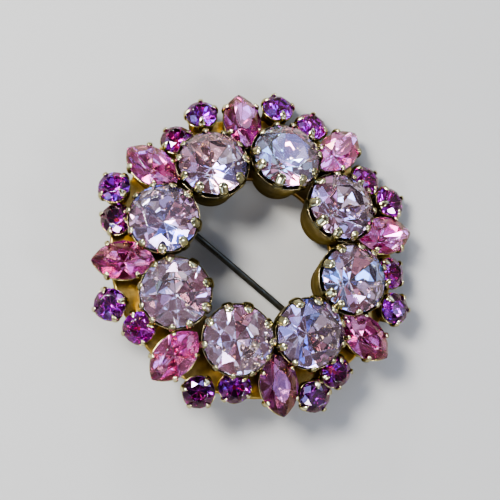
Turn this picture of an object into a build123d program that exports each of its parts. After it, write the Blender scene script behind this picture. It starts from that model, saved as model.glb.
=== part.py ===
from build123d import *
from collections import namedtuple
from math import asin, atan2, cos, degrees, radians, sin, sqrt
import os

# Round wreath brooch, in millimetres. It is modelled flat, with its back plane at Z = 0,
# and laid down at the end as it rests on a table: on its hinge, its catch and its rim.

# Large round stones of the top ring
large_stone_diameter = 8.4
large_crown_height = 1.5
large_pavilion_depth = 3.4
large_table_diameter = 4.9
large_stone_gap = 0.82
large_tilt = 10.0
large_lift = 0.35

# Pointed oval stones that lie in the notches between the large ones
navette_length = 7.7
navette_width = 4.8
navette_crown_height = 1.15
navette_pavilion_depth = 2.1
navette_table_length = 4.1
navette_table_width = 2.3
navette_gap = 0.08
navette_tilt = 13.0
navette_sink = 0.1

# Small round stones, in pairs outside the large ones: one near and one far
small_stone_diameter = 3.9
small_crown_height = 0.75
small_pavilion_depth = 1.65
small_table_diameter = 2.2
small_stone_gap = 0.38
small_tilt = 21.0
small_sink = 0.75
near_tuck = 0.75
far_reach = 0.85

# Cut and seat of the stones
girdle_thickness = 0.14
facet_count = 8
seat_clearance = 0.06
seat_step = 0.4

# Cups: a rim just below the girdle, a waist below the rim, a floor and a foot
cup_wall = 0.3
cup_floor = 0.35
pavilion_room = 0.15
rim_drop = 0.15
rim_height = 0.35
rim_step = 0.1
large_belly_diameter = 8.1
large_belly_depth = 3.0
large_foot_diameter = 6.9
large_hollow_diameter = 6.6
navette_foot_inset = 0.45
navette_hollow_inset = 0.9
small_foot_diameter = 3.3
small_hollow_diameter = 2.6

# Claws over the stones' edges
claw_thickness = 0.36
claw_foot = 1.0
claw_proud = 0.08
claw_tip_share = 0.75
large_claw_count = 10
large_claw_width = 0.95
large_claw_reach = 0.8
navette_claw_width = 0.6
navette_claw_reach = 0.5
navette_claw_place = 1.9
small_claw_count = 4
small_claw_width = 0.64
small_claw_reach = 0.62

# Flat ring that carries the cups
plate_thickness = 0.9
plate_inner_radius = 9.8
plate_outer_radius = 17.8

# Pin stem, its hinge and its catch
pin_angle = -40.4
pin_offset = -1.95
pin_drop = 2.0
pin_diameter = 0.8
pin_root_diameter = 1.0
pin_root_length = 1.3
pin_point_diameter = 0.2
pin_point_length = 5.0
pin_overshoot = 1.9
hinge_reach = 12.6
catch_reach = 12.4
catch_length = 2.2
catch_clearance = 0.12
knuckle_diameter = 2.0
knuckle_width = 1.1
rivet_diameter = 1.0
rivet_clearance = 0.05
ear_gap = 0.1
ear_thickness = 0.55
finding_depth = 3.25
finding_foot = 0.45

# Each stone's own seat: its turn round the ring in degrees, its reach outwards as a share
# of the stone's width, and the spin of its claws, or of a navette's length, in degrees
Seat = namedtuple("Seat", "turn reach spin")
large_start = 28.7
LARGE_SEATS = [
    Seat(-1.1, -0.03, 4),
    Seat(-1.0, 0.03, -6),
    Seat(0.0, -0.02, 0),
    Seat(0.8, 0.03, 7),
    Seat(0.4, 0.00, -3),
    Seat(1.2, -0.02, 2),
    Seat(0.2, 0.00, 9),
    Seat(-1.6, 0.01, -8),
]
navette_start = 6.4
NAVETTE_SEATS = [
    Seat(2.0, -0.05, 1),
    Seat(-0.8, 0.08, -4),
    Seat(-1.4, 0.00, -1),
    Seat(0.0, -0.03, -1),
    Seat(-0.8, -0.02, -7),
    Seat(0.0, 0.02, -5),
    Seat(0.9, 0.00, 3),
    Seat(0.0, 0.04, -2),
]
pair_start = 27.75
LOWER_SEATS = [
    Seat(0.3, -0.01, 10),
    Seat(-1.3, -0.14, -20),
    Seat(-1.5, -0.05, 25),
    Seat(-0.6, 0.03, 45),
    Seat(-0.8, 0.06, 5),
    Seat(0.1, -0.05, -15),
    Seat(-0.7, 0.00, 30),
    Seat(2.5, -0.06, 55),
]
UPPER_SEATS = [
    Seat(0.1, 0.04, 0),
    Seat(0.7, 0.48, 15),
    Seat(0.2, -0.06, -35),
    Seat(-1.4, 0.04, 20),
    Seat(-0.5, 0.00, 60),
    Seat(0.7, -0.12, 10),
    Seat(-1.0, 0.04, -10),
    Seat(3.8, -0.02, 35),
]
large_claw_turns = (2, -3, 1, 4, -2, 0, 3, -4, 2, -1)

# Places worked out from the sizes above
ring_count = 8
half_step = radians(180 / ring_count)
large_spacing = large_stone_diameter + large_stone_gap
large_ring_radius = large_spacing / (2 * sin(half_step))

navette_arc_radius = (navette_length**2 + navette_width**2) / (4 * navette_width)
contact_length = large_stone_diameter / 2 + navette_arc_radius + navette_gap
contact_side = large_spacing / 2 + navette_arc_radius - navette_width / 2
navette_ring_radius = large_ring_radius * cos(half_step) + sqrt(contact_length**2 - contact_side**2)

touching_radius = large_ring_radius + (large_stone_diameter + small_stone_diameter) / 2
near_ring_radius = touching_radius - near_tuck
far_ring_radius = touching_radius + far_reach
pair_side = sqrt((small_stone_diameter + small_stone_gap) ** 2 - (near_tuck + far_reach) ** 2)
pair_half_angle = degrees(pair_side / (near_ring_radius + far_ring_radius))

seat_depth = plate_thickness + cup_floor + pavilion_room
large_height = seat_depth + large_pavilion_depth + large_lift
navette_height = seat_depth + navette_pavilion_depth - navette_sink
small_height = seat_depth + small_pavilion_depth - small_sink


def ring_places(seats, start, radius, height, tilt, width):
    """Places of one ring's girdles: +X points outwards and +Z leans outwards by the tilt."""
    places = []
    for i, seat in enumerate(seats):
        angle = start + i * 360 / ring_count + seat.turn
        reach = Pos(radius + seat.reach * width, 0, height)
        places.append(Rot(Z=angle) * reach * Rot(Y=tilt) * Rot(Z=seat.spin))
    return places


large_places = ring_places(
    LARGE_SEATS, large_start, large_ring_radius, large_height, large_tilt, large_stone_diameter
)
navette_places = ring_places(
    NAVETTE_SEATS, navette_start, navette_ring_radius, navette_height, navette_tilt, navette_width
)
lower_places = ring_places(
    LOWER_SEATS,
    pair_start - pair_half_angle,
    far_ring_radius,
    small_height,
    small_tilt,
    small_stone_diameter,
)
upper_places = ring_places(
    UPPER_SEATS,
    pair_start + pair_half_angle,
    near_ring_radius,
    small_height,
    small_tilt,
    small_stone_diameter,
)
small_places = [place for pair in zip(lower_places, upper_places) for place in pair]

# The corners between a stone's kites are pushed out so that the kites stay flat
kite_push = 1 / cos(radians(180 / facet_count))
half_girdle = girdle_thickness / 2


# Outlines: X and Y at an angle round the stone, in radians
def round_outline(diameter):
    """Circle of the given diameter."""
    return lambda angle: (diameter / 2 * cos(angle), diameter / 2 * sin(angle))


def navette_outline(length, width):
    """Two equal arcs that meet in points on the X axis."""
    arc_radius = (length**2 + width**2) / (4 * width)

    def point(angle):
        x = length / 2 * cos(angle)
        y = sqrt(arc_radius**2 - x**2) - arc_radius + width / 2
        return x, y if sin(angle) > 0 else -y

    return point


# Cut stones
def cut_stone(girdle, table, crown_height, pavilion_depth):
    """Brilliant cut: table, stars, kites, a many-sided girdle and a pointed back."""

    def ring(height, count, turned, outline, share=1):
        angles = [radians(360 * (i + turned) / count) for i in range(count)]
        return [(share * outline(a)[0], share * outline(a)[1], height) for a in angles]

    def crown_middle(angle):
        (x0, y0), (x1, y1) = girdle(angle), table(angle)
        return (x0 + x1) / 2, (y0 + y1) / 2

    table_ring = ring(crown_height, facet_count, 0, table)
    mid_ring = ring((crown_height + half_girdle) / 2, facet_count, 0.5, crown_middle, kite_push)
    upper = ring(half_girdle, 2 * facet_count, 0, girdle)
    lower = ring(-half_girdle, 2 * facet_count, 0, girdle)
    back_ring = ring(-(pavilion_depth + half_girdle) / 2, facet_count, 0.5, girdle, kite_push / 2)
    point = (0, 0, -pavilion_depth)

    facets = [table_ring]
    for i in range(facet_count):
        after = (i + 1) % facet_count
        corner, middle, end = 2 * i, 2 * i + 1, 2 * after
        facets += [
            [table_ring[i], mid_ring[i], table_ring[after]],
            [table_ring[i], mid_ring[i - 1], upper[corner]],
            [table_ring[i], upper[corner], mid_ring[i]],
            [mid_ring[i], upper[corner], upper[middle]],
            [mid_ring[i], upper[middle], upper[end]],
            [back_ring[i], lower[middle], lower[corner]],
            [back_ring[i], lower[end], lower[middle]],
            [point, back_ring[i], lower[corner]],
            [point, lower[corner], back_ring[i - 1]],
            [upper[corner], lower[corner], lower[middle], upper[middle]],
            [upper[middle], lower[middle], lower[end], upper[end]],
        ]
    return Solid(Shell([Face(Wire.make_polygon(facet)) for facet in facets]))


# Cups, and the rooms that the stones need inside them
def turned(edges):
    """Solid turned about the Z axis from the edges of a closed outline in X and Z."""
    return revolve(make_face(edges), Axis.Z)


def navette_face(length, width, grow, height):
    """Flat navette outline at a height, grown by an even distance all round."""
    arc_radius = (length**2 + width**2) / (4 * width)
    arc_offset = arc_radius - width / 2
    tip = sqrt((arc_radius + grow) ** 2 - arc_offset**2)
    side = width / 2 + grow
    arcs = [ThreePointArc((-tip, 0, height), (0, y, height), (tip, 0, height)) for y in (side, -side)]
    return make_face(arcs)


def round_cup(diameter, belly, foot_diameter, height):
    """Outside of a round cup; the belly is a width and a depth, and the foot runs long."""
    rim = diameter / 2 + seat_clearance + cup_wall
    waist = diameter / 2 - seat_step + cup_wall
    rim_end = -rim_drop - rim_height
    foot = foot_diameter / 2
    foot_end = -height - diameter
    top = Polyline((foot, 0, foot_end), (0, 0, foot_end), (0, 0, -rim_drop), (rim, 0, -rim_drop))
    ledge = Polyline((rim, 0, -rim_drop), (rim, 0, rim_end), (waist, 0, rim_end - rim_step))
    belly_width, belly_depth = belly
    bowl = ThreePointArc(
        (waist, 0, rim_end - rim_step), (belly_width / 2, 0, -belly_depth), (foot, 0, -height)
    )
    side = Line((foot, 0, -height), (foot, 0, foot_end))
    return turned([*top.edges(), *ledge.edges(), bowl, side])


def round_room(diameter, table_diameter, crown_height, pavilion_depth, hollow_diameter):
    """Room of a round stone: its crown and girdle with clearance, and the hollow below."""
    edge = diameter / 2 + seat_clearance
    middle = kite_push * (diameter + table_diameter) / 4 + seat_clearance
    floor = -pavilion_depth - pavilion_room
    outline = Polyline(
        (0, 0, crown_height + seat_clearance),
        (table_diameter / 2 + seat_clearance, 0, crown_height + seat_clearance),
        (middle, 0, (crown_height + half_girdle) / 2 + seat_clearance),
        (edge, 0, half_girdle + seat_clearance),
        (edge, 0, -half_girdle - seat_clearance),
        (diameter / 2 - seat_step, 0, -rim_drop - rim_height),
        (hollow_diameter / 2, 0, floor),
        (0, 0, floor),
        close=True,
    )
    return turned(outline.edges())


def navette_cup():
    """Outside of a navette's cup, with a foot that runs long."""
    rim_end = -rim_drop - rim_height
    sections = [
        (seat_clearance + cup_wall, -rim_drop),
        (seat_clearance + cup_wall, rim_end),
        (cup_wall - seat_step, rim_end - rim_step),
        (-navette_foot_inset, -navette_height),
        (-navette_foot_inset, -navette_height - navette_width),
    ]
    faces = [navette_face(navette_length, navette_width, grow, z) for grow, z in sections]
    return loft(faces, ruled=True)


def pointed_room():
    """Room of a navette stone: its crown and girdle with clearance, and the hollow below."""
    middle_length = kite_push * (navette_length + navette_table_length) / 2
    middle_width = kite_push * (navette_width + navette_table_width) / 2
    middle_height = (navette_crown_height + half_girdle) / 2 + seat_clearance
    top = navette_crown_height + seat_clearance
    edge = half_girdle + seat_clearance
    faces = [
        navette_face(navette_table_length, navette_table_width, seat_clearance, top),
        navette_face(middle_length, middle_width, seat_clearance, middle_height),
        navette_face(navette_length, navette_width, seat_clearance, edge),
        navette_face(navette_length, navette_width, seat_clearance, -edge),
        navette_face(navette_length, navette_width, -seat_step, -rim_drop - rim_height),
        navette_face(
            navette_length,
            navette_width,
            -navette_hollow_inset,
            -navette_pavilion_depth - pavilion_room,
        ),
    ]
    return loft(faces, ruled=True)


# Claws
def claw(reach, width, stone_width, table_width, crown_height):
    """Claw at a stone's edge: the edge is the Y axis and the stone lies on the -X side.

    Its inner side runs through the stone's room, which cuts it to the crown's shape.
    """
    outer = seat_clearance + cup_wall + claw_proud
    corner = (stone_width - kite_push * (stone_width + table_width) / 2) / 2
    corner_height = (crown_height + half_girdle) / 2
    slope = (crown_height - corner_height) / (stone_width / 2 - corner - table_width / 2)
    tip_height = corner_height + (reach - corner) * slope + seat_clearance
    side = Polyline(
        (-reach, 0, -claw_foot),
        (-reach, 0, tip_height + claw_tip_share * claw_thickness),
        (-corner + claw_thickness / 2, 0, corner_height + claw_thickness),
        (outer, 0, half_girdle + seat_clearance),
        (outer, 0, -claw_foot),
        close=True,
    )
    blade = extrude(make_face(side), width / 2, both=True)
    length = 2 * (reach + outer)
    plan = Pos(length / 2 - reach, 0, -claw_foot) * SlotOverall(length, width)
    return blade & extrude(plan, 2 * claw_foot + crown_height)


large_claw = claw(
    large_claw_reach,
    large_claw_width,
    large_stone_diameter,
    large_table_diameter,
    large_crown_height,
)
small_claw = claw(
    small_claw_reach,
    small_claw_width,
    small_stone_diameter,
    small_table_diameter,
    small_crown_height,
)
navette_claw = claw(
    navette_claw_reach,
    navette_claw_width,
    navette_width,
    navette_table_width,
    navette_crown_height,
)

large_belly = (large_belly_diameter, large_belly_depth)
large_cup = round_cup(large_stone_diameter, large_belly, large_foot_diameter, large_height)
large_cup += [
    Rot(Z=i * 360 / large_claw_count + turn) * Pos(large_stone_diameter / 2, 0, 0) * large_claw
    for i, turn in enumerate(large_claw_turns)
]

small_waist = small_stone_diameter / 2 - seat_step + cup_wall
small_belly = (small_waist + small_foot_diameter / 2, small_height / 2)
small_cup = round_cup(small_stone_diameter, small_belly, small_foot_diameter, small_height)
small_cup += [
    Rot(Z=i * 360 / small_claw_count) * Pos(small_stone_diameter / 2, 0, 0) * small_claw
    for i in range(small_claw_count)
]

navette_room = pointed_room()
claw_swing = degrees(asin(navette_claw_place / navette_arc_radius))
pointed_cup = navette_cup() + [
    Rot(Z=side)
    * Pos(navette_width / 2 - navette_arc_radius, 0, 0)
    * Rot(Z=swing)
    * Pos(navette_arc_radius, 0, 0)
    * navette_claw
    for side in (90, 270)
    for swing in (claw_swing, -claw_swing)
]

large_room = round_room(
    large_stone_diameter,
    large_table_diameter,
    large_crown_height,
    large_pavilion_depth,
    large_hollow_diameter,
)
small_room = round_room(
    small_stone_diameter,
    small_table_diameter,
    small_crown_height,
    small_pavilion_depth,
    small_hollow_diameter,
)

# Hinge and catch, soldered to the back: X runs along the pin, from the catch to the hinge
pin_place = Rot(Z=pin_angle) * Pos(0, pin_offset, 0)
rivet_place = pin_place * Pos(hinge_reach, 0, -pin_drop) * Rot(X=90)
finding_width = knuckle_width + 2 * (ear_gap + ear_thickness)
ear_radius = finding_depth - pin_drop

ear_height = pin_drop + finding_foot
ear_profile = Circle(ear_radius) + Pos(0, ear_height / 2) * Rectangle(2 * ear_radius, ear_height)
ear_side = knuckle_width / 2 + ear_gap
hinge = extrude(ear_profile, finding_width / 2, both=True)
hinge -= extrude(Rectangle(4 * ear_radius, 4 * ear_height), ear_side, both=True)
hinge += Cylinder(rivet_diameter / 2, finding_width)
# Rot(X=90) lays the outline's Y along the model's Z and the rivet along the model's Y
hinge = rivet_place * hinge

channel_width = pin_diameter + 2 * catch_clearance
channel_height = finding_depth - pin_drop + channel_width / 2
catch = Pos(-catch_reach, 0, finding_foot) * Box(
    catch_length,
    finding_width,
    finding_foot + finding_depth,
    align=(Align.CENTER, Align.CENTER, Align.MAX),
)
catch -= Pos(-catch_reach, 0, -finding_depth) * Box(
    2 * catch_length,
    channel_width,
    channel_height,
    align=(Align.CENTER, Align.CENTER, Align.MIN),
)
catch = pin_place * catch

# Metal frame: plate, cups, claws and findings in one piece, with each cup flush at the back
plate = Cylinder(plate_outer_radius, plate_thickness, align=(Align.CENTER, Align.CENTER, Align.MIN))
plate -= Cylinder(plate_inner_radius, 3 * plate_thickness)
behind = Box(
    4 * plate_outer_radius,
    4 * plate_outer_radius,
    2 * plate_outer_radius,
    align=(Align.CENTER, Align.CENTER, Align.MAX),
)
cups = [
    *(place * large_cup - behind for place in large_places),
    *(place * pointed_cup - behind for place in navette_places),
    *(place * small_cup - behind for place in small_places),
]
rooms = [
    *(place * large_room for place in large_places),
    *(place * navette_room for place in navette_places),
    *(place * small_room for place in small_places),
]
metal = plate + [hinge, catch, *cups]
metal -= rooms

# Pin stem: knuckle, root, straight stem and a long point through the catch
root_start = hinge_reach - knuckle_diameter / 2
stem_start = root_start - pin_root_length
tip_reach = catch_reach + catch_length / 2 + pin_overshoot
stem_end = pin_point_length - tip_reach
pin_outline = Polyline(
    (hinge_reach, 0),
    (hinge_reach, pin_root_diameter / 2),
    (root_start, pin_root_diameter / 2),
    (stem_start, pin_diameter / 2),
    (stem_end, pin_diameter / 2),
    (-tip_reach, pin_point_diameter / 2),
    (-tip_reach, 0),
    close=True,
)
pin_stem = pin_place * Pos(0, 0, -pin_drop) * revolve(make_face(pin_outline), Axis.X)
pin_stem += rivet_place * Cylinder(knuckle_diameter / 2, knuckle_width)
pin_stem -= rivet_place * Cylinder(rivet_diameter / 2 + rivet_clearance, 2 * knuckle_width)

# Rest: leant about the pin's direction until the rim's lowest foot and the findings are level
low_place = navette_places[1]
low_tip = navette_face(navette_length, navette_width, -navette_foot_inset, 0).bounding_box().max.X
low_depth = (navette_height - low_tip * sin(radians(navette_tilt))) / cos(radians(navette_tilt))
rim_point = Rot(Z=-pin_angle) * low_place * Pos(low_tip, 0, -low_depth)
finding_edge = pin_offset + finding_width / 2
lean = degrees(atan2(finding_depth, rim_point.position.Y - finding_edge))
leant = Rot(Z=pin_angle) * Rot(X=-lean) * Rot(Z=-pin_angle)
box = (leant * metal).bounding_box()
rest = Pos(-box.center().X, -box.center().Y, -box.min.Z) * leant

# Stones
large_stone = cut_stone(
    round_outline(large_stone_diameter),
    round_outline(large_table_diameter),
    large_crown_height,
    large_pavilion_depth,
)
navette_stone = cut_stone(
    navette_outline(navette_length, navette_width),
    navette_outline(navette_table_length, navette_table_width),
    navette_crown_height,
    navette_pavilion_depth,
)
small_stone = cut_stone(
    round_outline(small_stone_diameter),
    round_outline(small_table_diameter),
    small_crown_height,
    small_pavilion_depth,
)

os.makedirs("parts", exist_ok=True)
export_step(rest * metal, "parts/brooch_frame.step")
export_step(rest * pin_stem, "parts/pin_stem.step")
for kind, stone, places in (
    ("large_stone", large_stone, large_places),
    ("navette", navette_stone, navette_places),
    ("small_stone", small_stone, small_places),
):
    for number, place in enumerate(places, 1):
        export_step(rest * place * stone, f"parts/{kind}_{number}.step")
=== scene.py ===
"""Round wreath brooch with claw-set stones and a hinged pin, lying on a pale floor.

Sizes are in millimetres in the brooch's own flat frame: its back plane is Z = 0, and +X and +Y are
right and up in the photograph. `Rest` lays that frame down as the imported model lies, in metres.
"""

import logging
from collections.abc import Callable
from dataclasses import dataclass
from enum import Enum

import bpy
import numpy as np
from mathutils import Matrix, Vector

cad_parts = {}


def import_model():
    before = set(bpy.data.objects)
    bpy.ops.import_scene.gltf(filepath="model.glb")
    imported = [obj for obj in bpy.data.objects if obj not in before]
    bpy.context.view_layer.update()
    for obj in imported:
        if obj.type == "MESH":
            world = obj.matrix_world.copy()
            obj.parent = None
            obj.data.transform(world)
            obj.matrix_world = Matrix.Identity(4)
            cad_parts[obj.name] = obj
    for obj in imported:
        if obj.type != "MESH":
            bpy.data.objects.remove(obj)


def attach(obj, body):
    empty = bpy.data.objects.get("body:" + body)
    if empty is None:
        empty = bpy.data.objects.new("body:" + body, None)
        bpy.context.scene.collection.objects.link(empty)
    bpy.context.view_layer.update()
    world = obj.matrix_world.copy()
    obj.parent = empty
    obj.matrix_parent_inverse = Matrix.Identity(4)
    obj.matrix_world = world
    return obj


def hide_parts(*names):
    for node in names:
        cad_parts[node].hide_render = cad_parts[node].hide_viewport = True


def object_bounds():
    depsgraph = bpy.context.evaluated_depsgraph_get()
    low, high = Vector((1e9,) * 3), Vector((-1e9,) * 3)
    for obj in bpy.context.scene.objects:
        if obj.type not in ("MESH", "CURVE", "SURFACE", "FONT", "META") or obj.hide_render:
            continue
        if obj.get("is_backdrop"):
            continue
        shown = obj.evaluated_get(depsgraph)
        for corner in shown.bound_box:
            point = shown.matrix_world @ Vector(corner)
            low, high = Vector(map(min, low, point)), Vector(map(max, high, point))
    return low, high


Array = np.ndarray
Pair = tuple[float, float]
Triple = tuple[float, float, float]
Colour = Triple
Seats = tuple[Triple, ...]
ClawRows = tuple[tuple[float, ...], ...]
ClawPlaces = tuple[tuple[float, float, float, float], ...]
Socket = bpy.types.NodeSocket
log = logging.getLogger("brooch")

RING_COUNT = 8
FACETS = 8
KITE_PUSH = 1 / np.cos(np.pi / FACETS)
PIN_ANGLE = -40.4

# How hollow a plain bar or rod counts as lying, for its tarnish
BAR_HOLLOW = 0.35
ROD_HOLLOW = 0.3


# Places


def turn(axis: int, degrees: float) -> Array:
    """Gives the 4 x 4 matrix of a turn about the X, Y or Z axis (0, 1 or 2)."""
    return np.array(Matrix.Rotation(np.radians(degrees), 4, "XYZ"[axis]))


def shift(x: float, y: float, z: float) -> Array:
    """Gives the 4 x 4 matrix of a move by x, y and z."""
    return np.array(Matrix.Translation((x, y, z)))


def carried(points: Array, place: Array) -> Array:
    """Carries points, with X, Y and Z in their last axis, by a 4 x 4 matrix."""
    return points @ place[:3, :3].T + place[:3, 3]


def facing(
    target: Triple,
    distance: float,
    azimuth: float,
    elevation: float,
    upward: Triple,
    roll: float = 0.0,
) -> Matrix:
    """Gives the place of a light or a camera that faces a point.

    Its back is turned away from the point, its right is the upward direction crossed with its
    back, and both its right and its top are then turned by the roll.

    Args:
        target: Point that it faces, in metres.
        distance: Distance from that point, in metres.
        azimuth: Degrees round from +X towards +Y.
        elevation: Degrees above the floor.
        upward: Direction that is upright in its view.
        roll: Degrees by which its view is turned.

    Returns:
        The object's matrix.
    """
    a, e, roll = np.radians([azimuth, elevation, roll])
    away = np.array([np.cos(e) * np.cos(a), np.cos(e) * np.sin(a), np.sin(e)])
    right = np.cross(upward, away)
    right /= np.linalg.norm(right)
    up = np.cross(away, right)
    turned_right = np.cos(roll) * right + np.sin(roll) * up
    turned_up = np.cos(roll) * up - np.sin(roll) * right
    axes = np.eye(4)
    axes[:3, :3] = np.stack([turned_right, turned_up, away], -1)
    axes[:3, 3] = np.array(target) + distance * away
    return Matrix(axes.tolist())


def added(name: str, data: bpy.types.ID) -> bpy.types.Object:
    """Puts a mesh, a light or a camera into the scene.

    Args:
        name: Name of the object.
        data: What the object shows.

    Returns:
        The object.
    """
    thing = bpy.data.objects.new(name, data)
    bpy.context.scene.collection.objects.link(thing)
    return thing


@dataclass(frozen=True)
class Rest:
    """How the brooch lies: leant about the pin's direction, and set down in metres."""

    lean: float = 9.0147
    position: Triple = (-0.0812, -0.5524, 3.1083)
    metre: float = 0.001

    def lay_down(self, points: Array) -> Array:
        """Turns flat points in millimetres into resting points in metres."""
        lean = turn(2, PIN_ANGLE) @ turn(0, -self.lean) @ turn(2, -PIN_ANGLE)
        return carried(points, shift(*self.position) @ lean) * self.metre


@dataclass(frozen=True)
class SeatRing:
    """Places of one ring of stones: +X points outwards, and +Z leans outwards by the tilt.

    Each seat has its turn round the ring in degrees, its reach outwards as a share of the
    stone's width, and its spin in degrees.
    """

    start: float
    radius: float
    height: float
    tilt: float
    width: float
    seats: Seats

    def places(self) -> list[Array]:
        """Gives the matrix of each seat's girdle."""
        return [
            turn(2, self.start + i * 360 / RING_COUNT + swing)
            @ shift(self.radius + reach * self.width, 0, self.height)
            @ turn(1, self.tilt)
            @ turn(2, spin)
            for i, (swing, reach, spin) in enumerate(self.seats)
        ]


# Shells: points and faces of one closed surface


@dataclass
class Shell:
    """A closed surface: points, faces as arrays of corner numbers, and each point's patina and
    painted shade.
    """

    points: Array
    faces: list[Array]
    tarnish_and_shade: Array

    def placed(self, place: Array) -> "Shell":
        """Gives a copy carried by a matrix."""
        return Shell(carried(self.points, place), self.faces, self.tarnish_and_shade)

    def flush_at_back(self, axis: Array, rise: float = 0.04) -> "Shell":
        """Slides a foot up its own axis to just above the back, where the base ring covers it."""
        below = np.minimum(self.points[:, 2:] - rise, 0.0)
        return Shell(self.points - below * axis / axis[2], self.faces, self.tarnish_and_shade)

    def facing_out(self) -> "Shell":
        """Turns the faces round if the shell is inside out.

        The volume's sign is that of the sum, over each face's triangles from its first corner,
        of that corner dotted with the cross product of the other two.

        Returns:
            The shell with its faces outwards.
        """
        volume = 0.0
        for corners in self.faces:
            first, rest = self.points[corners[:, :1]], self.points[corners[:, 1:]]
            volume += np.sum(first * np.cross(rest[:, :-1], rest[:, 1:]))
        faces = self.faces if volume > 0 else [corners[:, ::-1] for corners in self.faces]
        return Shell(self.points, faces, self.tarnish_and_shade)


def joined(shells: list[Shell]) -> Shell:
    """Puts several shells into one.

    Args:
        shells: The shells to gather.

    Returns:
        One shell with all their points and faces.
    """
    starts = np.cumsum([0] + [len(shell.points) for shell in shells])
    faces = [corners + start for shell, start in zip(shells, starts) for corners in shell.faces]
    points = np.concatenate([shell.points for shell in shells])
    return Shell(points, faces, np.concatenate([shell.tarnish_and_shade for shell in shells]))


def round_steps(count: int) -> Array:
    """Gives even angles once round, in radians."""
    return np.linspace(0, 2 * np.pi, count, endpoint=False)


def circle(angles: Array) -> Array:
    """Gives X and Y at angles round a circle of radius 1."""
    return np.stack([np.cos(angles), np.sin(angles)], -1)


def grid_faces(rows: int, columns: int, wrap_rows: bool) -> Array:
    """Numbers the four corners of each face of a grid whose columns close on themselves.

    Args:
        rows: Count of rows of points.
        columns: Count of points in a row.
        wrap_rows: Whether the last row is joined to the first.

    Returns:
        One line of four corners for each face.
    """
    row = np.arange(rows if wrap_rows else rows - 1)[:, None]
    column = np.arange(columns)[None, :]
    after_row, after_column = (row + 1) % rows, (column + 1) % columns
    corners = [
        row * columns + column,
        row * columns + after_column,
        after_row * columns + after_column,
        after_row * columns + column,
    ]
    return np.stack([np.broadcast_to(c, (row.size, columns)) for c in corners], -1).reshape(-1, 4)


def revolved(strip: Array, columns: int, tarnish_and_shade: Array, about_y: bool = False) -> Shell:
    """Carries a closed strip once round the Z axis, or round the Y axis.

    X is the radius times the angle's cosine, the other axis across is the radius times its
    sine, and the height stays.

    Args:
        strip: Radius and height of each point of the strip.
        columns: Count of steps round the axis.
        tarnish_and_shade: Patina and painted shade of each point of the strip.
        about_y: Whether it goes round Y.

    Returns:
        The closed ring.
    """
    angles = round_steps(columns)
    x, across = np.outer(strip[:, 0], np.cos(angles)), np.outer(strip[:, 0], np.sin(angles))
    height = np.broadcast_to(strip[:, 1:], x.shape)
    grid = np.stack([x, height, across] if about_y else [x, across, height], -1)
    spread = np.broadcast_to(tarnish_and_shade[:, None], x.shape).ravel()
    return Shell(grid.reshape(-1, 3), [grid_faces(*x.shape, True)], spread).facing_out()


def capped_shell(grid: Array, tarnish_and_shade: Array) -> Shell:
    """Closes a tube of rows with a fan at each end.

    Args:
        grid: Points by row and column; the columns close on themselves.
        tarnish_and_shade: Patina and painted shade of each row.

    Returns:
        The closed shell.
    """
    rows, columns, _ = grid.shape
    ends = np.stack([grid[0].mean(0), grid[-1].mean(0)])
    here = np.arange(columns)
    after = (here + 1) % columns
    first, last = rows * columns, rows * columns + 1
    top = (rows - 1) * columns
    fans = [
        np.stack([np.full(columns, first), after, here], -1),
        np.stack([np.full(columns, last), top + here, top + after], -1),
    ]
    points = np.concatenate([grid.reshape(-1, 3), ends])
    spread = np.broadcast_to(tarnish_and_shade[:, None], (rows, columns)).ravel()
    spread = np.concatenate([spread, tarnish_and_shade[[0, -1]]])
    return Shell(points, [grid_faces(rows, columns, False), *fans], spread).facing_out()


def prism(outline: Array, start: float, end: float) -> Shell:
    """Carries a flat outline in X and Z straight along Y, with a flat face at each end.

    Args:
        outline: Points of the outline, X and Z.
        start: Y of one end.
        end: Y of the other end.

    Returns:
        The closed shell.
    """
    count = len(outline)
    ends = [np.stack([outline[:, 0], np.full(count, y), outline[:, 1]], -1) for y in (start, end)]
    caps = [np.arange(count)[None, ::-1], count + np.arange(count)[None, :]]
    faces = [grid_faces(2, count, False), *caps]
    return Shell(np.concatenate(ends), faces, np.full(2 * count, BAR_HOLLOW)).facing_out()


def eased(corners: Array, cut: float, steps: int = 4, most: float = 0.45) -> Array:
    """Rounds the inner corners of an open line.

    Each corner becomes a quadratic curve that starts and ends at most the cut away from it.

    Args:
        corners: Points of the line.
        cut: Largest distance from a corner to where its curve starts.
        steps: Points on each curve.
        most: Largest share of a side that a curve takes.

    Returns:
        Points of the rounded line.
    """
    run = np.diff(corners, axis=0)
    length = np.linalg.norm(run, axis=1, keepdims=True)
    reach = np.minimum(cut, most * length) * run / length
    middle, before, after = corners[1:-1], corners[1:-1] - reach[:-1], corners[1:-1] + reach[1:]
    t = np.linspace(0, 1, steps)[None, :, None]
    bend = 2 * t * (1 - t) * middle[:, None]
    curve = (1 - t) ** 2 * before[:, None] + bend + t**2 * after[:, None]
    return np.concatenate([corners[:1], curve.reshape(-1, corners.shape[1]), corners[-1:]])


def spaced(line: Array, shares: Array) -> Array:
    """Picks points along a line.

    Args:
        line: Points of the line.
        shares: Shares of its length at which to pick.

    Returns:
        The points there, by straight steps between the line's own.
    """
    steps = np.linalg.norm(np.diff(line, axis=0), axis=1)
    travelled = np.concatenate([[0.0], np.cumsum(steps)])
    stations = shares * travelled[-1]
    return np.stack([np.interp(stations, travelled, line[:, k]) for k in range(line.shape[1])], -1)


def offset_line(line: Array, distance: float) -> Array:
    """Moves an open line in X and Z sideways, to the right of its run.

    Each corner moves along the sum of its two sides' normals, far enough for both sides.

    Args:
        line: Points of the line.
        distance: Distance to the right.

    Returns:
        Points of the moved line.
    """
    run = np.diff(line, axis=0)
    run /= np.linalg.norm(run, axis=1, keepdims=True)
    side = np.stack([run[:, 1], -run[:, 0]], -1)
    first, last = np.concatenate([side[:1], side]), np.concatenate([side, side[-1:]])
    share = 1 + np.sum(first * last, axis=1, keepdims=True)
    return line + distance * (first + last) / share


# Outlines of stones and cups


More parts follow.
